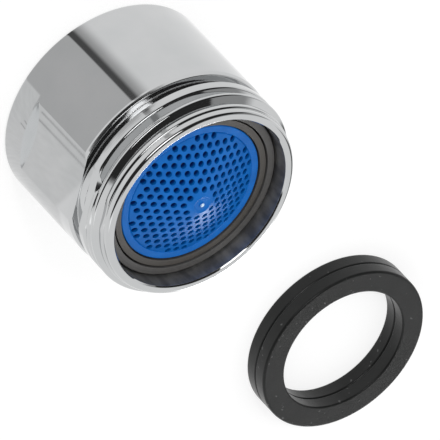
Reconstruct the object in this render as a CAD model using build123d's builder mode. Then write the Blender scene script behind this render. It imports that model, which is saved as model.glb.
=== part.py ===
from build123d import *
from math import atan2, cos, degrees, hypot, pi, radians, sqrt, tan
import os

# Tap aerator for a spout with an M18 x 1 inside thread. It stands on its outlet face, inlet up,
# with its sealing washer taken off and lying beside it. Millimetres: Z is the axis, z = 0 the outlet face.

# Housing outside
overall_height = 14.1
body_diameter = 18.0
flat_depth = 0.6
collar_height = 2.5
outlet_edge_chamfer = 0.3
shoulder_chamfer = 0.2

# Outside thread, left plain at its crest diameter, with a relief groove above the shoulder
thread_section_height = 4.45
thread_diameter = 17.9
thread_depth = 0.64
thread_flank_angle = 30.0
relief_width = 1.09

# Plain nose at the inlet end
nose_height = 1.05
nose_step = 0.5
nose_chamfer_width = 0.33
nose_chamfer_height = 0.3

# Housing inside
thread_wall = 0.66
inlet_chamfer = 0.12
ledge_width = 0.6
outlet_chamfer = 0.3

# Sealing washer, and where it lies
washer_thickness = 2.45
washer_width = 1.95
washer_clearance = 0.15
washer_edge = 0.12
parting_groove_width = 0.2
parting_groove_depth = 0.1
washer_x = 27.9
washer_y = 28.35

# Cartridge casing
washer_recess_depth = 1.4
flange_clearance = 0.13
flange_width = 0.64
flange_chamfer = 0.08
flange_floor = 0.43
air_gap = 0.55
sleeve_wall = 0.65
casing_recess = 0.3
bottom_lip_height = 0.6
bottom_lip_width = 0.5
air_windows = 6
window_width = 2.8
window_margin = 0.15
rib_width = 0.8
rib_clearance = 0.1
rib_inset = 0.5

# Strainer
strainer_drop = 0.08
strainer_clearance = 0.1
strainer_rim_width = 0.63
strainer_wall = 0.5
cone_slope = 0.36
cone_sides = 12
cone_top_radius = 0.95
hole_width = 0.46
hole_pitch = 0.755
hole_margin = 0.1
hole_row_angle = 29.5
gate_dish_radius = 0.72
gate_dish_depth = 0.12

# Jet plate
jet_ring_drop = 0.08
jet_ring_clearance = 0.14
jet_ring_width = 0.51
jet_rim_thickness = 0.6
pot_depth = 1.8
pot_wall = 0.5
pot_floor = 0.7
pot_clearance = 0.1
jet_count = 12
jet_width = 0.75
jet_sides = 6
jet_inset = 0.7
deflector_base = 3.4
deflector_tip = 0.6
deflector_height = 1.3
feet = 3
foot_width = 1.2
air_space = 2.2

# Inserts stacked in the sleeve
insert_clearance = 0.07
mixing_wall_top = 0.3
mixing_wall_bottom = 0.9
lattice_height = 0.9
lattice_rim = 0.55
slot_width = 0.85
web_width = 0.45
outlet_grid_height = 1.8
outlet_grid_recess = 0.15
outlet_grid_rim = 0.3
cell_width = 1.1
cell_wall = 0.28

# Radii that follow from the sizes above
body_radius = body_diameter / 2
crest_radius = thread_diameter / 2
root_radius = crest_radius - thread_depth
nose_radius = crest_radius - nose_step
inlet_bore_radius = root_radius - thread_wall
outlet_bore_radius = inlet_bore_radius - ledge_width
washer_radius = inlet_bore_radius - washer_clearance
flange_radius = inlet_bore_radius - flange_clearance
seat_radius = flange_radius - flange_width
jet_rim_radius = seat_radius - jet_ring_clearance
jet_ring_radius = jet_rim_radius - jet_ring_width
sleeve_radius = outlet_bore_radius - air_gap
sleeve_bore_radius = sleeve_radius - sleeve_wall
casing_mouth_radius = sleeve_bore_radius - bottom_lip_width
strainer_radius = jet_ring_radius - strainer_clearance
cone_base_radius = strainer_radius - strainer_rim_width
pot_radius = sleeve_bore_radius - pot_clearance
pot_bore_radius = pot_radius - pot_wall
insert_radius = sleeve_bore_radius - insert_clearance

# Heights that follow, from the inlet end down
shoulder_z = overall_height - thread_section_height
relief_z = shoulder_z + relief_width
nose_z = overall_height - nose_height
flange_z = overall_height - washer_recess_depth
jet_ring_z = flange_z - jet_ring_drop
strainer_rim_z = jet_ring_z - strainer_drop
jet_rim_z = strainer_rim_z - strainer_wall
seat_z = jet_rim_z - jet_rim_thickness
ledge_z = seat_z - flange_floor
pot_floor_z = jet_rim_z - pot_depth
pot_bottom_z = pot_floor_z - pot_floor
mixing_top_z = pot_bottom_z - air_space

# Heights that follow, from the outlet face up
grid_seat_z = casing_recess + bottom_lip_height
lower_lattice_z = grid_seat_z + outlet_grid_height
upper_lattice_z = lower_lattice_z + lattice_height
mixing_bottom_z = upper_lattice_z + lattice_height


def hexagonal_grid(pitch, nearest, farthest):
    """Points of a hexagonal grid whose distance from its centre lies between two radii."""
    reach = int(farthest / pitch) * 2 + 2
    points = []
    for row in range(-reach, reach + 1):
        for column in range(-reach, reach + 1):
            x = pitch * (column + row / 2)
            y = pitch * row * sqrt(3) / 2
            if nearest <= hypot(x, y) <= farthest:
                points.append((x, y))
    return points


def lattice_insert(bottom_z, turn):
    """One slotted insert: a rim with parallel webs and a single cross web."""
    inner_radius = insert_radius - lattice_rim
    slot_pitch = slot_width + web_width
    slots = int((2 * inner_radius - slot_width) / slot_pitch) + 1
    level = Plane.XY.offset(bottom_z).rotated((0, 0, turn))
    with BuildPart() as insert:
        with BuildSketch(level):
            Circle(insert_radius)
        extrude(amount=lattice_height)
        with BuildSketch(level):
            with GridLocations(slot_pitch, 0, slots, 1):
                Rectangle(slot_width, 2 * inner_radius)
            Circle(inner_radius, mode=Mode.INTERSECT)
            Rectangle(2 * inner_radius, web_width, mode=Mode.SUBTRACT)
        extrude(amount=lattice_height, mode=Mode.SUBTRACT)
    return insert.part


os.makedirs("parts", exist_ok=True)

# Housing: turned body with two flats, then the grooved neck with its nose, then the stepped bore
with BuildPart() as housing:
    Cylinder(body_radius, shoulder_z, align=(Align.CENTER, Align.CENTER, Align.MIN))
    rims = housing.edges().filter_by(GeomType.CIRCLE).sort_by(Axis.Z)
    chamfer(rims[0], outlet_edge_chamfer)
    chamfer(rims[-1], shoulder_chamfer)
    with BuildSketch(Plane.XY.offset(collar_height)):
        Circle(2 * body_radius)
        Rectangle(4 * body_radius, 2 * (body_radius - flat_depth), mode=Mode.SUBTRACT)
    extrude(amount=shoulder_z, mode=Mode.SUBTRACT)
    flank = tan(radians(thread_flank_angle))
    with BuildSketch(Plane.XZ):
        with BuildLine():
            Polyline(
                (0, collar_height),
                (root_radius, collar_height),
                (root_radius, relief_z),
                (crest_radius, relief_z + thread_depth * flank),
                (crest_radius, nose_z - nose_step * flank),
                (nose_radius, nose_z),
                (nose_radius, overall_height - nose_chamfer_height),
                (nose_radius - nose_chamfer_width, overall_height),
                (0, overall_height),
                close=True,
            )
        make_face()
    revolve(axis=Axis.Z)
    with BuildSketch(Plane.XZ):
        with BuildLine():
            Polyline(
                (0, 0),
                (outlet_bore_radius + outlet_chamfer, 0),
                (outlet_bore_radius, outlet_chamfer),
                (outlet_bore_radius, ledge_z),
                (inlet_bore_radius, ledge_z),
                (inlet_bore_radius, overall_height - inlet_chamfer),
                (inlet_bore_radius + inlet_chamfer, overall_height),
                (0, overall_height),
                close=True,
            )
        make_face()
    revolve(axis=Axis.Z, mode=Mode.SUBTRACT)
housing.part.label = "housing"
export_step(housing.part, "parts/housing.step")

# Cartridge casing: flange round the jet plate's seat, sleeve with air windows and centring ribs
with BuildPart() as cartridge_casing:
    with BuildSketch(Plane.XZ):
        with BuildLine():
            Polyline(
                (casing_mouth_radius, casing_recess),
                (sleeve_radius, casing_recess),
                (sleeve_radius, ledge_z),
                (flange_radius, ledge_z),
                (flange_radius, flange_z - flange_chamfer),
                (flange_radius - flange_chamfer, flange_z),
                (seat_radius, flange_z),
                (seat_radius, seat_z),
                (sleeve_bore_radius, seat_z),
                (sleeve_bore_radius, grid_seat_z),
                (casing_mouth_radius, grid_seat_z),
                close=True,
            )
        make_face()
    revolve(axis=Axis.Z)
    rib_bottom_z = casing_recess + rib_inset
    rib_start = sleeve_radius - sleeve_wall / 2
    rib_reach = outlet_bore_radius - rib_clearance - rib_start
    with BuildSketch(Plane.XY.offset(rib_bottom_z)):
        with PolarLocations(rib_start + rib_reach / 2, air_windows):
            Rectangle(rib_reach, rib_width)
    extrude(amount=mixing_top_z - rib_bottom_z)
    with BuildSketch(Plane.XY.offset(mixing_top_z + window_margin)):
        with PolarLocations(sleeve_radius, air_windows, start_angle=180 / air_windows):
            Rectangle(4 * sleeve_wall, window_width)
    extrude(amount=air_space - 2 * window_margin, mode=Mode.SUBTRACT)
cartridge_casing.part.label = "cartridge_casing"
export_step(cartridge_casing.part, "parts/cartridge_casing.step")

# Strainer: rim, perforated many-sided cone, and a shallow dish round the moulding gate at its top
cone_taper = degrees(atan2(cos(pi / cone_sides), cone_slope))
cone_turn = hole_row_angle + 180 / cone_sides
cone_height = cone_slope * (cone_base_radius - cone_top_radius)
dish_z = strainer_rim_z + cone_height - gate_dish_depth
with BuildPart() as strainer:
    with BuildSketch(Plane.XY.offset(jet_rim_z)):
        Circle(strainer_radius)
    extrude(amount=strainer_wall)
    with BuildSketch(Plane.XY.offset(strainer_rim_z)):
        RegularPolygon(cone_base_radius, cone_sides, rotation=cone_turn)
    extrude(amount=cone_height, taper=cone_taper)
    with BuildSketch(Plane.XY.offset(jet_rim_z)):
        RegularPolygon(cone_base_radius, cone_sides, rotation=cone_turn)
    extrude(amount=cone_height, taper=cone_taper, mode=Mode.SUBTRACT)
    with BuildSketch(Plane.XY.offset(dish_z)):
        Circle(gate_dish_radius)
    extrude(amount=gate_dish_depth, mode=Mode.SUBTRACT)
    holes = hexagonal_grid(hole_pitch, cone_top_radius + hole_width / 2, cone_base_radius - hole_margin)
    with BuildSketch(Plane.XY.offset(jet_rim_z).rotated((0, 0, hole_row_angle))):
        with Locations(*holes):
            RegularPolygon(hole_width / 2, 6)
    extrude(amount=strainer_wall + cone_height, mode=Mode.SUBTRACT)
strainer.part.label = "strainer"
export_step(strainer.part, "parts/strainer.step")

# Jet plate: rim with a ring round the strainer, pot with jets and a deflector, feet on the mixing ring
with BuildPart() as jet_plate:
    with BuildSketch(Plane.XZ):
        with BuildLine():
            Polyline(
                (0, pot_bottom_z),
                (pot_radius, pot_bottom_z),
                (pot_radius, seat_z),
                (jet_rim_radius, seat_z),
                (jet_rim_radius, jet_ring_z),
                (jet_ring_radius, jet_ring_z),
                (jet_ring_radius, jet_rim_z),
                (pot_bore_radius, jet_rim_z),
                (pot_bore_radius, pot_floor_z),
                (deflector_base, pot_floor_z),
                (deflector_tip, pot_floor_z + deflector_height),
                (0, pot_floor_z + deflector_height),
                close=True,
            )
        make_face()
    revolve(axis=Axis.Z)
    with BuildSketch(Plane.XY.offset(pot_bottom_z)):
        with PolarLocations(pot_bore_radius - jet_inset, jet_count):
            RegularPolygon(jet_width / 2, jet_sides)
    extrude(amount=pot_floor, mode=Mode.SUBTRACT)
    foot_reach = sqrt(pot_radius**2 - (foot_width / 2) ** 2)
    with BuildSketch(Plane.XY.offset(mixing_top_z)):
        with PolarLocations(foot_reach - pot_wall / 2, feet):
            Rectangle(pot_wall, foot_width)
    extrude(amount=air_space)
jet_plate.part.label = "jet_plate"
export_step(jet_plate.part, "parts/jet_plate.step")

# Mixing ring: narrows towards the outlet
with BuildPart() as mixing_ring:
    with BuildSketch(Plane.XZ):
        with BuildLine():
            Polyline(
                (insert_radius - mixing_wall_bottom, mixing_bottom_z),
                (insert_radius, mixing_bottom_z),
                (insert_radius, mixing_top_z),
                (insert_radius - mixing_wall_top, mixing_top_z),
                close=True,
            )
        make_face()
    revolve(axis=Axis.Z)
mixing_ring.part.label = "mixing_ring"
export_step(mixing_ring.part, "parts/mixing_ring.step")

# Two like inserts, turned so that their webs cross
upper_lattice = lattice_insert(upper_lattice_z, 90)
upper_lattice.label = "upper_lattice"
export_step(upper_lattice, "parts/upper_lattice.step")

lower_lattice = lattice_insert(lower_lattice_z, 0)
lower_lattice.label = "lower_lattice"
export_step(lower_lattice, "parts/lower_lattice.step")

# Outlet grid: a honeycomb that seats on the casing's bottom lip and fills its mouth
grid_bottom_z = casing_recess + outlet_grid_recess
grid_mouth_radius = casing_mouth_radius - insert_clearance
with BuildPart() as outlet_grid:
    with BuildSketch(Plane.XY.offset(grid_bottom_z)):
        Circle(grid_mouth_radius)
    extrude(amount=lower_lattice_z - grid_bottom_z)
    with BuildSketch(Plane.XY.offset(grid_seat_z)):
        Circle(insert_radius)
    extrude(amount=outlet_grid_height)
    cell_corner = cell_width / sqrt(3)
    cells = hexagonal_grid(cell_width + cell_wall, 0, grid_mouth_radius - outlet_grid_rim - cell_corner)
    with BuildSketch(Plane.XY.offset(grid_bottom_z)):
        with Locations(*cells):
            RegularPolygon(cell_corner, 6, rotation=30)
    extrude(amount=lower_lattice_z - grid_bottom_z, mode=Mode.SUBTRACT)
outlet_grid.part.label = "outlet_grid"
export_step(outlet_grid.part, "parts/outlet_grid.step")

# Sealing washer: moulded in one piece, with a parting groove round its middle inside and outside
washer_bore_radius = washer_radius - washer_width
groove_bottom_z = (washer_thickness - parting_groove_width) / 2
groove_top_z = (washer_thickness + parting_groove_width) / 2
with BuildPart() as sealing_washer:
    with BuildSketch(Plane((washer_x, washer_y, 0), x_dir=(1, 0, 0), z_dir=(0, -1, 0))):
        with BuildLine():
            Polyline(
                (washer_bore_radius + washer_edge, 0),
                (washer_radius - washer_edge, 0),
                (washer_radius, washer_edge),
                (washer_radius, groove_bottom_z),
                (washer_radius - parting_groove_depth, washer_thickness / 2),
                (washer_radius, groove_top_z),
                (washer_radius, washer_thickness - washer_edge),
                (washer_radius - washer_edge, washer_thickness),
                (washer_bore_radius + washer_edge, washer_thickness),
                (washer_bore_radius, washer_thickness - washer_edge),
                (washer_bore_radius, groove_top_z),
                (washer_bore_radius + parting_groove_depth, washer_thickness / 2),
                (washer_bore_radius, groove_bottom_z),
                (washer_bore_radius, washer_edge),
                close=True,
            )
        make_face()
    revolve(axis=Axis((washer_x, washer_y, 0), (0, 0, 1)))
sealing_washer.part.label = "sealing_washer"
export_step(sealing_washer.part, "parts/sealing_washer.step")
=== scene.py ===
import math

import bmesh
import bpy
from mathutils import Matrix, Vector


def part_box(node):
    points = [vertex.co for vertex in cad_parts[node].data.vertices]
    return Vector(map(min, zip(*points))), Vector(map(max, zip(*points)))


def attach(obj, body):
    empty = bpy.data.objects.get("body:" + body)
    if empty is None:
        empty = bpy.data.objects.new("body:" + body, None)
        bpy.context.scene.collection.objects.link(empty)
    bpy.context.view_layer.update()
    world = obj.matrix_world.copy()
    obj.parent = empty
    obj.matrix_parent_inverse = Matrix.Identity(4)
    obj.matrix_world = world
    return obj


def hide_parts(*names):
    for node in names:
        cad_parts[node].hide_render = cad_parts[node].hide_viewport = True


MM = 0.001
DEGREES = 180 / math.pi
TOUCHING = 1e-7
TURN_STEPS = 240
ROUND_SEGMENTS = 4

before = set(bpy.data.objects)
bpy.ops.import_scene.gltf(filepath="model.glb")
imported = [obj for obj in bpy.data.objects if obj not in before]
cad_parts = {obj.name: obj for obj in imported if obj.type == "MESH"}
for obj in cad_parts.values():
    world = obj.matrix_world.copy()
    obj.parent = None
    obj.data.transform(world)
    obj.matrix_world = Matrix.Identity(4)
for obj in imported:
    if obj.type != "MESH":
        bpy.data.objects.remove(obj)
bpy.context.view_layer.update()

housing_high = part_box("housing")[1]
strainer_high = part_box("strainer")[1]
washer_low, washer_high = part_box("sealing_washer")

# Housing sizes in mm. Here and below, those that the frame gives are read from it.
body_radius = housing_high.x / MM
end_z = housing_high.z / MM
outlet_rounding = 0.38
outlet_chamfer = 0.3
flat_ledge_z = 2.5
flat_step = 0.02
flat_columns = 14
shoulder_z = end_z - 4.45
shoulder_edge_z = shoulder_z - 0.22
shoulder_top_z = shoulder_z + 0.09
shoulder_inset = 0.13
root_radius = 8.31
crest_radius = 8.95
collar_radius = 8.94
collar_low_z = end_z - 3.36
collar_low_flank = 0.16
collar_high_z = end_z - 2.66
collar_high_flank = 0.35
nose_radius = 8.38
nose_band_radius = 8.52
nose_z = end_z - 1.05
nose_band_z = end_z - 0.66
nose_step_z = end_z - 0.58
inlet_bore = 7.65
inlet_chamfer_width = 0.11
inlet_chamfer_height = 0.13
outlet_bore = 7.05
seat_ledge_z = 11.01

# Thread sizes in mm and turns
thread_pitch = 1.0
thread_land = 0.26
thread_flank_angle = math.radians(30)
thread_crest_rounding = 0.11
thread_buried = 0.2
thread_first_crest = end_z - 1.6
thread_turns_below = 1.0
thread_turns_above = 230 / 360
thread_fade = 0.16

# Strainer sizes in mm
strainer_rim = strainer_high.x / MM
rim_z = end_z - 1.56
rim_step = 0.06
cone_foot = 5.5
cone_edge = cone_foot - 0.05
cone_slope = 0.36
cone_point_z = rim_z + cone_slope * cone_foot
strainer_wall = 0.5
dish_radius = 0.74
dish_side = 0.16
dish_depth = 0.1
dish_lip = dish_radius + 0.2
dish_lip_drop = 0.01
pip_radius = 0.22
pip_shoulder = 0.19
pip_shoulder_height = 0.13
pip_crest = 0.12
pip_crest_height = 0.15
pip_hollow = 0.08
hole_pitch = 0.755
hole_radius = 0.25
hole_sides = 16
hole_row_angle = math.radians(29.5)
hole_nearest = 1.1
hole_margin = 0.1
drill_length = 4.5
drill_z = rim_z + 0.4

# Washer sizes in mm
washer_centre = (washer_low + washer_high) / 2 / MM
washer_radius = (washer_high.x - washer_low.x) / 2 / MM
washer_width = 1.95
washer_bore = washer_radius - washer_width
washer_top = washer_high.z / MM
groove_half_width = 0.1
groove_depth = 0.09

# The photo's view: the inlet's ellipse gives the camera's height, and the axis in the picture its roll
camera_azimuth = math.radians(-45)
camera_height = math.asin(0.63)
camera_roll = math.radians(-136.8)
camera_distance = 1000
aim_left = 0.209
aim_above = 1.862
photo_width_px = 440
px_per_mm = 13.17
sensor_width = 36


# Modelling
def pick(piece, test):
    """Select the vertices of a piece in edit mode whose place passes a test."""
    bpy.ops.mesh.select_mode(type="VERT")
    bpy.ops.mesh.select_all(action="DESELECT")
    work = bmesh.from_edit_mesh(piece.data)
    for vertex in work.verts:
        vertex.select_set(test(vertex.co))
    work.select_flush_mode()
    bmesh.update_edit_mesh(piece.data)


def near(place, spots):
    """True where a place lies on one of some spots."""
    return any((place - spot).length < TOUCHING for spot in spots)


def outline(name, corners, centre=(0, 0)):
    """Draw a line through (radius, height, rounding) corners, and leave the new piece in edit mode.
    A line that starts or ends off the axis is closed."""
    spots = [Vector((centre[0] + radius, centre[1], height)) * MM for radius, height, rounding in corners]
    bpy.ops.object.select_all(action="DESELECT")
    bpy.ops.mesh.primitive_plane_add(size=MM)
    piece = bpy.context.object
    piece.name = name
    piece.data.name = name
    bpy.ops.object.mode_set(mode="EDIT")
    bpy.ops.mesh.select_mode(type="VERT")
    bpy.ops.mesh.merge(type="CENTER")
    bpy.ops.transform.translate(value=spots[0])
    for here, there in zip(spots, spots[1:]):
        bpy.ops.mesh.extrude_vertices_move(TRANSFORM_OT_translate={"value": there - here})
    if corners[0][0] > 0 or corners[-1][0] > 0:
        pick(piece, lambda place: near(place, (spots[0], spots[-1])))
        bpy.ops.mesh.edge_face_add()
    for size in sorted({rounding for radius, height, rounding in corners if rounding}):
        rounded = [spot for spot, corner in zip(spots, corners) if corner[2] == size]
        pick(piece, lambda place: near(place, rounded))
        bpy.ops.mesh.bevel(offset=size * MM, segments=ROUND_SEGMENTS, affect="VERTICES")
    return piece


def clean(piece):
    """Merge what lies together, turn the faces outwards, so that they hold a positive volume, and leave
    edit mode."""
    bpy.ops.mesh.select_all(action="SELECT")
    bpy.ops.mesh.remove_doubles(threshold=TOUCHING)
    bpy.ops.mesh.normals_make_consistent(inside=False)
    if bmesh.from_edit_mesh(piece.data).calc_volume(signed=True) < 0:
        bpy.ops.mesh.flip_normals()
    bpy.ops.object.mode_set(mode="OBJECT")
    return piece


def turned(name, corners, centre=(0, 0)):
    """Spin an outline about an upright axis."""
    piece = outline(name, corners, centre)
    bpy.ops.mesh.select_all(action="SELECT")
    middle = (centre[0] * MM, centre[1] * MM, 0)
    bpy.ops.mesh.spin(steps=TURN_STEPS, angle=2 * math.pi, center=middle, axis=(0, 0, 1))
    return clean(piece)


def make_active(piece):
    """Select one object alone."""
    bpy.ops.object.select_all(action="DESELECT")
    piece.select_set(True)
    bpy.context.view_layer.objects.active = piece


def combine(piece, tool, operation):
    """Join a tool to a piece, or cut it out, and remove the tool."""
    make_active(piece)
    bpy.ops.object.modifier_add(type="BOOLEAN")
    change = piece.modifiers[-1]
    change.operation = operation
    change.solver = "EXACT"
    change.object = tool
    bpy.ops.object.modifier_apply(modifier=change.name)
    bpy.data.objects.remove(tool)


def moulded_copy(node, name, edge):
    """A copy of a CAD node as one welded mesh, with its sharp edges broken as a mould breaks them."""
    weld_distance = 1e-6
    flat_angle = math.radians(0.5)
    sharp_angle = math.radians(35)
    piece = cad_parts[node].copy()
    piece.data = piece.data.copy()
    for key in list(piece.keys()):
        del piece[key]
    bpy.context.scene.collection.objects.link(piece)
    piece.parent = None
    piece.name = name
    piece.data.name = name
    make_active(piece)
    bpy.ops.object.mode_set(mode="EDIT")
    bpy.ops.mesh.select_all(action="SELECT")
    bpy.ops.mesh.remove_doubles(threshold=weld_distance)
    bpy.ops.mesh.dissolve_limited(angle_limit=flat_angle)
    bpy.ops.mesh.select_mode(type="EDGE")
    bpy.ops.mesh.select_all(action="DESELECT")
    bpy.ops.mesh.edges_select_sharp(sharpness=sharp_angle)
    bpy.ops.mesh.bevel(offset=edge * MM, segments=2, affect="EDGES", clamp_overlap=True)
    return clean(piece)


def enlarge(factor):
    """Scale the mesh of the active object about the origin."""
    bpy.ops.object.mode_set(mode="EDIT")
    bpy.ops.mesh.select_all(action="SELECT")
    bpy.ops.transform.resize(value=(factor, factor, factor), center_override=(0, 0, 0))
    bpy.ops.object.mode_set(mode="OBJECT")


def firm_flats(piece):
    """Shade large faces flat up to their rounded edges. The modifier skips faces of less than 1 mm2 in
    metres, so it works on the mesh in millimetres."""
    enlarge(1 / MM)
    bpy.ops.object.modifier_add(type="WEIGHTED_NORMAL")
    weighing = piece.modifiers[-1]
    weighing.keep_sharp = True
    weighing.weight = 75
    bpy.ops.object.modifier_apply(modifier=weighing.name)
    enlarge(MM)


def fit(piece, node, material):
    """Give a finished piece its surface and put it in its CAD node's place."""
    smooth_angle = math.radians(32)
    make_active(piece)
    bpy.ops.object.shade_smooth_by_angle(angle=smooth_angle)
    firm_flats(piece)
    piece.data.materials.clear()
    piece.data.materials.append(material)
    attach(piece, "root")
    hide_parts(node)


# Shading
class Wire:
    """A shader socket. Operators on it add Math nodes, and make() adds any other node."""

    def __init__(self, tree, socket):
        self.tree = tree
        self.socket = socket

    def make(self, kind, settings, inputs, output=0):
        node = self.tree.nodes.new("ShaderNode" + kind)
        for name, value in settings.items():
            setattr(node, name, value)
        for name, value in inputs.items():
            if isinstance(value, Wire):
                self.tree.links.new(value.socket, node.inputs[name])
            else:
                node.inputs[name].default_value = value
        return Wire(self.tree, node.outputs[output])

    def math(self, operation, first, second):
        return self.make("Math", {"operation": operation}, {0: first, 1: second})

    def __add__(self, other):
        return self.math("ADD", self, other)

    def __radd__(self, other):
        return self.math("ADD", other, self)

    def __sub__(self, other):
        return self.math("SUBTRACT", self, other)

    def __rsub__(self, other):
        return self.math("SUBTRACT", other, self)

    def __mul__(self, other):
        return self.math("MULTIPLY", self, other)

    def __rmul__(self, other):
        return self.math("MULTIPLY", other, self)

    def __pow__(self, other):
        return self.math("POWER", self, other)

    def part(self, axis):
        return self.make("SeparateXYZ", {}, {0: self}, axis)

    def scaled(self, x, y, z):
        return self.make("VectorMath", {"operation": "MULTIPLY"}, {0: self, 1: (x, y, z)})

    def along(self, direction):
        """How far this vector reaches in a direction."""
        return self.make("VectorMath", {"operation": "DOT_PRODUCT"}, {0: self, 1: direction}, "Value")

    def noise(self, scale, detail):
        return self.make("TexNoise", {}, {"Vector": self, "Scale": scale, "Detail": detail})

    def rise(self, start, end):
        """0 below start, 1 above end, smooth between them."""
        span = {"Value": self, "From Min": start, "From Max": end}
        return self.make("MapRange", {"interpolation_type": "SMOOTHSTEP"}, span)

    def blend(self, low, high):
        """A colour between two, by this value."""
        return self.make("Mix", {"data_type": "RGBA"}, {0: self, 6: low, 7: high}, 2)

    def bump(self, strength, distance):
        return self.make("Bump", {}, {"Height": self, "Strength": strength, "Distance": distance})


def surface(name):
    """A new material, its shader and a wire with the place on the object."""
    material = bpy.data.materials.new(name)
    material.use_nodes = True
    tree = material.node_tree
    place = tree.nodes.new("ShaderNodeTexCoord").outputs["Object"]
    return material, tree.nodes["Principled BSDF"], Wire(tree, place)


def feed(shader, values):
    """Set or link the sockets of a shader."""
    for name, value in values.items():
        if isinstance(value, Wire):
            value.tree.links.new(value.socket, shader.inputs[name])
        else:
            shader.inputs[name].default_value = value


def grey(level):
    return (level, level, level, 1)


def round_the_axis(place):
    """A place as (turn in radians, height, radius) round the upright axis."""
    x = place.part(0)
    y = place.part(1)
    turn = place.math("ARCTAN2", y, x)
    radius = (x * x + y * y) ** 0.5
    return place.make("CombineXYZ", {}, {0: turn, 1: place.part(2), 2: radius})


def chrome_plate():
    """Bright plate with fine lathe marks outside, thinner and drawn along in the bore."""
    material, shader, place = surface("chrome_plate")
    turn = round_the_axis(place)
    lathe = turn.scaled(1.4, 9000, 9000).noise(1.0, 3.0)
    cloud = place.noise(260.0, 3.0)
    bore = turn.part(2).rise((inlet_bore + 0.02) * MM, (inlet_bore + 0.01) * MM)
    drawn = turn.scaled(9, 500, 0).noise(1.0, 3.0).rise(0.32, 0.68)
    thin_plate = drawn.blend((0.2, 0.2, 0.205, 1), (0.37, 0.365, 0.36, 1))
    plate = cloud.rise(0.3, 0.75).blend((0.535, 0.545, 0.55, 1), (0.57, 0.575, 0.58, 1))
    feed(shader, {
        "Base Color": bore.blend(plate, thin_plate),
        "Metallic": 1 - bore * 0.2,
        "Roughness": cloud.rise(0.35, 0.8) * 0.035 + 0.045 + bore * 0.3,
        "Normal": lathe.bump(0.03, 0.02 * MM),
    })
    return material


def blue_plastic():
    """Blue moulding, with painted shade deep inside its holes and a painted highlight on the pip at its
    point.
    """
    material, shader, place = surface("strainer_blue")
    mould = place.noise(900.0, 3.0)
    grain = place.noise(5200.0, 2.0)
    radius = round_the_axis(place).part(2)
    depth = cone_point_z * MM - radius * cone_slope - place.part(2)
    perforated = radius.rise(0.95 * MM, MM) * radius.rise(cone_edge * MM, (cone_edge - 0.05) * MM)
    # Painted shade: the base colour darkens to deep navy down inside the holes, where shade falls.
    painted_hole_shade = depth.rise(0.08 * MM, 0.36 * MM) * perforated
    # Painted highlight: the pip's top is coloured pale blue-white in place of the lamp's glint on it.
    painted_pip_glint = radius.rise(0.2 * MM, 0.13 * MM) * grain.rise(0.3, 0.5)
    skin = mould.rise(0.3, 0.7).blend((0.001, 0.112, 0.43, 1), (0.002, 0.135, 0.5, 1))
    skin_and_hole_shade = painted_hole_shade.blend(skin, (0.001, 0.024, 0.17, 1))
    feed(shader, {
        "Base Color": painted_pip_glint.blend(skin_and_hole_shade, (0.62, 0.78, 0.9, 1)),
        "Roughness": grain * 0.12 + 0.3,
        "Normal": grain.bump(0.06, 0.04 * MM),
        "Specular IOR Level": 0.2,
    })
    return material


def dark_plastic(name, dark, light, ring_scale):
    """Dark moulding with faint rings round the axis."""
    material, shader, place = surface(name)
    rings = round_the_axis(place).scaled(0.6, ring_scale, ring_scale).noise(1.0, 2.0)
    grain = place.noise(4200.0, 2.0)
    feed(shader, {
        "Base Color": (rings * 0.6 + grain * 0.4).rise(0.3, 0.7).blend(dark, light),
        "Roughness": grain * 0.15 + 0.3,
        "Normal": (rings + grain * 0.3).bump(0.12, 0.04 * MM),
    })
    return material


def pale_plastic():
    """Matt pale grey moulding."""
    material, shader, place = surface("insert_grey")
    cloud = place.noise(700.0, 3.0)
    grain = place.noise(5000.0, 2.0)
    feed(shader, {
        "Base Color": cloud.rise(0.3, 0.7).blend((0.5, 0.5, 0.48, 1), (0.58, 0.58, 0.56, 1)),
        "Roughness": grain * 0.15 + 0.4,
        "Normal": grain.bump(0.08, 0.04 * MM),
    })
    return material


def black_rubber():
    """Black rubber with a few specks of dust."""
    material, shader, place = surface("washer_black")
    cloud = place.noise(420.0, 4.0)
    grain = place.noise(4500.0, 3.0)
    dust = place.noise(2600.0, 1.0).rise(0.72, 0.78)
    body = cloud.rise(0.3, 0.75).blend((0.0075, 0.008, 0.0078, 1), (0.0115, 0.012, 0.0118, 1))
    feed(shader, {
        "Base Color": (dust * 0.5).blend(body, grey(0.14)),
        "Roughness": grain * 0.16 + 0.24,
        "Normal": (grain + cloud * 0.5).bump(0.16, 0.05 * MM),
        "Specular IOR Level": 0.21,
    })
    return material


# Housing: turned, with an uncut collar below the thread, then flattened on two sides
housing = turned("chromed_housing", [
    (outlet_bore + outlet_chamfer, 0, 0.05),
    (body_radius, 0, outlet_rounding),
    (body_radius, flat_ledge_z, 0),
    (body_radius, flat_ledge_z + flat_step, 0),
    (body_radius, shoulder_edge_z, 0.08),
    (body_radius - shoulder_inset, shoulder_top_z, 0.06),
    (root_radius, shoulder_top_z, 0.085),
    (root_radius, collar_low_z - collar_low_flank, 0.05),
    (collar_radius, collar_low_z, 0.05),
    (collar_radius, collar_high_z, 0.14),
    (root_radius, collar_high_z + collar_high_flank, 0.03),
    (root_radius, nose_z, 0.06),
    (nose_band_radius, nose_z, 0.1),
    (nose_band_radius, nose_band_z, 0.1),
    (nose_radius, nose_step_z, 0.04),
    (nose_radius, end_z, 0.3),
    (inlet_bore + inlet_chamfer_width, end_z, 0.03),
    (inlet_bore, end_z - inlet_chamfer_height, 0.03),
    (inlet_bore, seat_ledge_z, 0),
    (outlet_bore, seat_ledge_z, 0.05),
    (outlet_bore, outlet_chamfer, 0.05),
])
flat_y = body_radius * math.cos(flat_columns * 2 * math.pi / TURN_STEPS)
flat_edge_y = (flat_y + 0.001) * MM
flat_low_z = (flat_ledge_z + flat_step / 2) * MM
make_active(housing)
bpy.ops.object.mode_set(mode="EDIT")
for side in (-1, 1):
    pick(housing, lambda place: place.y * side > flat_edge_y and place.z > flat_low_z)
    bpy.ops.transform.resize(value=(1, 0, 1), center_override=(0, side * flat_y * MM, 0))
clean(housing)

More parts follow.
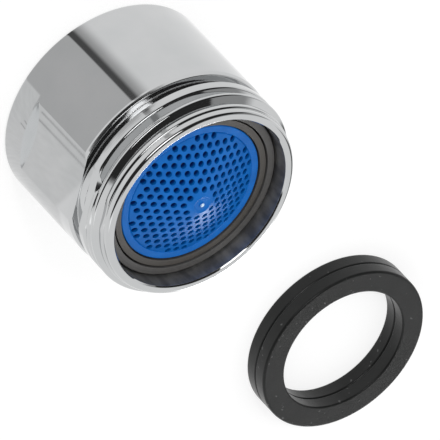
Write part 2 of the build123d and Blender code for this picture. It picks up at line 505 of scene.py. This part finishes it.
# Its right-hand thread: one ridge wound from the collar up to the nose, fading out at both ends
thread_turns = thread_turns_below + thread_turns_above
camera_side = math.radians(270) + camera_azimuth
thread_start = camera_side - thread_turns_below * 2 * math.pi
thread_low = thread_first_crest - thread_turns_below * thread_pitch
thread_foot = root_radius - thread_buried
thread_side = math.tan(thread_flank_angle)
foot_half_width = thread_land / 2 + (crest_radius - thread_foot) * thread_side
ridge = outline("thread_ridge", [
    (thread_foot, thread_low - foot_half_width, 0),
    (crest_radius, thread_low - thread_land / 2, thread_crest_rounding),
    (crest_radius, thread_low + thread_land / 2, thread_crest_rounding),
    (thread_foot, thread_low + foot_half_width, 0),
])
bpy.ops.mesh.select_all(action="SELECT")
bpy.ops.transform.rotate(value=-thread_start, orient_axis="Z", center_override=(0, 0, 0))
bpy.ops.object.mode_set(mode="OBJECT")
section = len(ridge.data.vertices)
bpy.ops.object.modifier_add(type="SCREW")
winding = ridge.modifiers[-1]
winding.angle = thread_turns * 2 * math.pi
winding.screw_offset = thread_turns * thread_pitch * MM
winding.steps = winding.render_steps = int(thread_turns * TURN_STEPS)
winding.use_merge_vertices = False
bpy.ops.object.modifier_apply(modifier=winding.name)
sections = len(ridge.data.vertices) // section
for vertex in ridge.data.vertices:
    along = (vertex.index // section) / (sections - 1)
    share = min(along, 1 - along) / thread_fade
    if share < 1:
        share = share * share * (3 - 2 * share)
        radius = Vector((vertex.co.x, vertex.co.y)).length
        lower = thread_foot * MM
        change = (lower + (radius - lower) * share) / radius
        vertex.co.x *= change
        vertex.co.y *= change
bpy.ops.object.mode_set(mode="EDIT")
bpy.ops.mesh.select_mode(type="EDGE")
bpy.ops.mesh.select_all(action="DESELECT")
bpy.ops.mesh.select_non_manifold()
bpy.ops.mesh.edge_face_add()
combine(housing, clean(ridge), "UNION")
fit(housing, "housing", chrome_plate())

# Strainer: a moulded cone with a gate dish and pip at its point, drilled in a hexagonal grid
dish_z = cone_point_z - cone_slope * dish_radius - dish_depth
strainer = turned("blue_strainer", [
    (0, dish_z + dish_depth, 0),
    (pip_hollow, dish_z + dish_depth, 0.03),
    (pip_crest, dish_z + pip_crest_height, 0.03),
    (pip_shoulder, dish_z + pip_shoulder_height, 0.04),
    (pip_radius, dish_z, 0.04),
    (dish_radius - dish_side, dish_z, 0.06),
    (dish_radius, dish_z + dish_depth, 0.05),
    (dish_lip, cone_point_z - cone_slope * dish_lip - dish_lip_drop, 0.08),
    (cone_edge, cone_point_z - cone_slope * cone_edge, 0.02),
    (cone_foot, rim_z - rim_step, 0),
    (cone_foot + rim_step, rim_z, 0.02),
    (strainer_rim, rim_z, 0.1),
    (strainer_rim, rim_z - strainer_wall, 0.04),
    (cone_foot, rim_z - strainer_wall, 0),
    (0, cone_point_z - strainer_wall, 0),
])
reach = int(cone_foot / hole_pitch) * 2
holes = []
for row in range(-reach, reach + 1):
    for column in range(-reach, reach + 1):
        x = hole_pitch * (column + row / 2)
        y = hole_pitch * row * math.sqrt(3) / 2
        if hole_nearest < math.hypot(x, y) < cone_foot - hole_margin:
            holes.append(Matrix.Rotation(hole_row_angle, 2) @ Vector((x, y)))
drills = None
for hole in holes:
    bpy.ops.mesh.primitive_cylinder_add(
        vertices=hole_sides, radius=hole_radius * MM, depth=drill_length * MM,
        location=(hole.x * MM, hole.y * MM, drill_z * MM))
    if drills is None:
        drills = bpy.context.object
        make_active(drills)
        bpy.ops.object.mode_set(mode="EDIT")
bpy.ops.object.mode_set(mode="OBJECT")
combine(strainer, drills, "DIFFERENCE")
fit(strainer, "strainer", blue_plastic())

# The rest of the cartridge keeps the forms of the solids, with moulded edges
casing_grey = dark_plastic("casing_grey", (0.07, 0.068, 0.066, 1), (0.1, 0.097, 0.094, 1), 12000)
jet_brown = dark_plastic("jet_brown", (0.05, 0.046, 0.041, 1), (0.076, 0.069, 0.061, 1), 16000)
insert_grey = pale_plastic()
for node, name, edge, slot, material in (
    ("cartridge_casing", "grey_casing", 0.035, "casing_plastic", casing_grey),
    ("jet_plate", "brown_jet_plate", 0.04, "jet_plastic", jet_brown),
    ("mixing_ring", "pale_mixing_ring", 0.04, "insert_plastic", insert_grey),
    ("upper_lattice", "pale_upper_lattice", 0.03, "insert_plastic", insert_grey),
    ("lower_lattice", "pale_lower_lattice", 0.03, "insert_plastic", insert_grey),
    ("outlet_grid", "grey_outlet_grid", 0.03, "casing_plastic", casing_grey),
):
    fit(moulded_copy(node, name, edge), node, material)

# Washer: a moulded rubber ring with a parting groove inside and outside
middle_z = washer_top / 2
washer = turned("rubber_washer", [
    (washer_bore, 0, 0.14),
    (washer_radius, 0, 0.16),
    (washer_radius, middle_z - groove_half_width, 0.05),
    (washer_radius - groove_depth, middle_z, 0.02),
    (washer_radius, middle_z + groove_half_width, 0.05),
    (washer_radius, washer_top, 0.2),
    (washer_bore, washer_top, 0.14),
    (washer_bore, middle_z + groove_half_width, 0.05),
    (washer_bore + groove_depth, middle_z, 0.02),
    (washer_bore, middle_z - groove_half_width, 0.05),
], washer_centre)
fit(washer, "sealing_washer", black_rubber())

# Stage: directions as the camera sees them before its roll
right = Vector((math.cos(camera_azimuth), math.sin(camera_azimuth), 0))
away = Vector((-math.sin(camera_azimuth), math.cos(camera_azimuth), 0))
upright = Vector((0, 0, 1))
back = upright * math.sin(camera_height) - away * math.cos(camera_height)
above = back.cross(right)


def facing(place, across, up, normal):
    """The matrix of a lamp or camera at a place, from the directions of its own axes."""
    return Matrix.Translation(place) @ Matrix((across, up, normal)).transposed().to_4x4()


def glow(name):
    """A material that gives off light, its emitter and a wire with the place on the object."""
    material = bpy.data.materials.new(name)
    material.use_nodes = True
    tree = material.node_tree
    tree.nodes.clear()
    place = Wire(tree, tree.nodes.new("ShaderNodeTexCoord").outputs["Object"])
    light = tree.nodes.new("ShaderNodeEmission")
    ends = tree.nodes.new("ShaderNodeOutputMaterial")
    tree.links.new(light.outputs[0], ends.inputs["Surface"])
    return material, light, place


def reflected_only(card):
    """A card that only mirrors and glossy surfaces see."""
    card.visible_camera = False
    card.visible_diffuse = False
    card.visible_transmission = False
    card.visible_volume_scatter = False
    card.visible_shadow = False


# White floor that keeps the shadows, and looks plain white in the chrome
floor_size = 2000
bpy.ops.object.select_all(action="DESELECT")
bpy.ops.mesh.primitive_plane_add(size=floor_size * MM)
floor = bpy.context.object
floor.name = "white_floor"
material, shader, place = surface("floor_white")
lit = place.make("BsdfDiffuse", {}, {"Color": grey(0.32)})
lift = place.make("Emission", {}, {"Color": grey(0.72)})
seen = place.make("AddShader", {}, {0: lit, 1: lift})
mirrored = place.make("Emission", {}, {"Color": grey(1.0)})
glossy = place.make("LightPath", {}, {}, "Is Glossy Ray")
mixed = place.make("MixShader", {}, {0: glossy, 1: seen, 2: mirrored})
nodes = material.node_tree.nodes
nodes.remove(shader)
material.node_tree.links.new(mixed.socket, nodes["Material Output"].inputs["Surface"])
floor.data.materials.append(material)

# A card on the floor in front, for the chrome to mirror: rippled light grey on the camera's right, plain
# grey in the middle, then a dark band and a white left side. Farther out only the band is left. Bearings
# are in degrees, 0 towards the camera and positive to its left.
card_radius = 90
card_sides = 96
card_forward = 5.05
card_lift = 0.01
bpy.ops.mesh.primitive_circle_add(vertices=card_sides, radius=card_radius * MM, fill_type="NGON")
front_card = bpy.context.object
front_card.name = "front_card"
card_place = Matrix.Translation(-away * card_forward * MM + upright * card_lift * MM)
front_card.matrix_world = card_place @ Matrix.Rotation(camera_azimuth + math.pi, 4, "Z")
material, light, place = glow("front_card_grey")
to_left = place.part(0)
ahead = place.part(1)
bearing = place.math("ARCTAN2", to_left, ahead) * DEGREES
distance = place.make("VectorMath", {"operation": "LENGTH"}, {0: place}, "Value")
inside = (bearing + distance.rise(7.4 * MM, 8.2 * MM) * 15).rise(-45, -42.5)
ripple = place.scaled(600, 3500, 0).noise(1.0, 2.0) - 0.5
band_start = bearing.rise(19, 21)
band_end = bearing.rise(25, 30)
near_level = 0.86 - inside * 0.24 + (1 - inside) * ripple * 0.16
near_level = near_level - band_start * 0.52 + band_end * 0.35 + bearing.rise(28, 44) * 0.55
for line in (2.2, 2.75):
    streak = ahead.rise((line - 0.1) * MM, line * MM) - ahead.rise(line * MM, (line + 0.15) * MM)
    near_level = near_level - streak * to_left.rise(-7.7 * MM, -8 * MM) * 0.3
far_level = 1 - (band_start - band_end) * 0.5
far = distance.rise(17.0 * MM, 17.7 * MM)
feed(light, {"Color": near_level + (far_level - near_level) * far})
front_card.data.materials.append(material)
reflected_only(front_card)

# A soft lamp above the camera, and its bright middle, which gives the glints
lamp_height = math.radians(52)
lamp_to_left = 0.18
lamp_distance = 450
towards = -away * math.cos(lamp_height) + upright * math.sin(lamp_height) - right * lamp_to_left
towards.normalize()
for name, width, depth, energy in (("soft_lamp", 280, 190, 0.37), ("lamp_middle", 45, 45, 0.2)):
    lamp_data = bpy.data.lights.new(name, "AREA")
    lamp_data.shape = "ELLIPSE"
    lamp_data.size = width * MM
    lamp_data.size_y = depth * MM
    lamp_data.energy = energy
    lamp = bpy.data.objects.new(name, lamp_data)
    bpy.context.scene.collection.objects.link(lamp)
    lamp.matrix_world = facing(
        towards * lamp_distance * MM, right, towards.cross(right).normalized(), towards)

# White surround. Mirrors see it dark from the camera's side to overhead and at the back on the left,
# with a bright window low at the back and another on the right. Heights are sines of the elevation.
world = bpy.data.worlds.new("white_surround")
bpy.context.scene.world = world
world.use_nodes = True
backdrop = world.node_tree.nodes["Background"]
heading = Wire(world.node_tree, world.node_tree.nodes.new("ShaderNodeTexCoord").outputs["Generated"])
to_left = heading.along(-right)
to_front = heading.along(-away)
height = heading.part(2)
bearing = heading.math("ARCTAN2", to_left, to_front) * DEGREES
back_bearing = heading.math("ARCTAN2", to_left, 0 - to_front) * DEGREES
dark_front = bearing.rise(-80, -74) * bearing.rise(112, 106) * height.rise(0.03, 0.09)
dark = heading.math("MAXIMUM", dark_front, height.rise(0.91, 0.94))
dim = bearing.rise(102, 108) * bearing.rise(134, 126) * height.rise(0.1, 0.2)
back_dark = back_bearing.rise(5, 9) * back_bearing.rise(30, 25) * height.rise(0.6, 0.5)
back_window = back_bearing.rise(-12, -7) * back_bearing.rise(6, 1) * height.rise(0.42, 0.28)
right_side = bearing.rise(-84, -87) * bearing.rise(-102, -98)
right_window = right_side * height.rise(0.5, 0.55) * height.rise(0.78, 0.72)
mirrored = 1 - heading.math("MAXIMUM", dark * 0.97, dim * 0.61)
mirrored = mirrored - back_dark * 0.85 + back_window * 9 + right_window * 0.6
seen = heading.make("LightPath", {}, {}, "Is Camera Ray")
glossy = heading.make("LightPath", {}, {}, "Is Glossy Ray")
plain = seen * 0.15 + 0.85
feed(backdrop, {"Color": grey(1.0), "Strength": glossy * mirrored + (1 - glossy) * plain})

# Camera
aim = (upright * end_z - right * aim_left + above * aim_above) * MM
rolled_right = right * math.cos(camera_roll) - above * math.sin(camera_roll)
rolled_up = right * math.sin(camera_roll) + above * math.cos(camera_roll)
camera_data = bpy.data.cameras.new("photo_camera")
camera_data.sensor_width = sensor_width
camera_data.lens = sensor_width * camera_distance * px_per_mm / photo_width_px
camera_data.clip_start = 0.01
camera_data.clip_end = 20
camera = bpy.data.objects.new("photo_camera", camera_data)
bpy.context.scene.collection.objects.link(camera)
camera.matrix_world = facing(aim + back * camera_distance * MM, rolled_right, rolled_up, back)
bpy.context.scene.camera = camera
bpy.context.scene.view_settings.view_transform = "Standard"
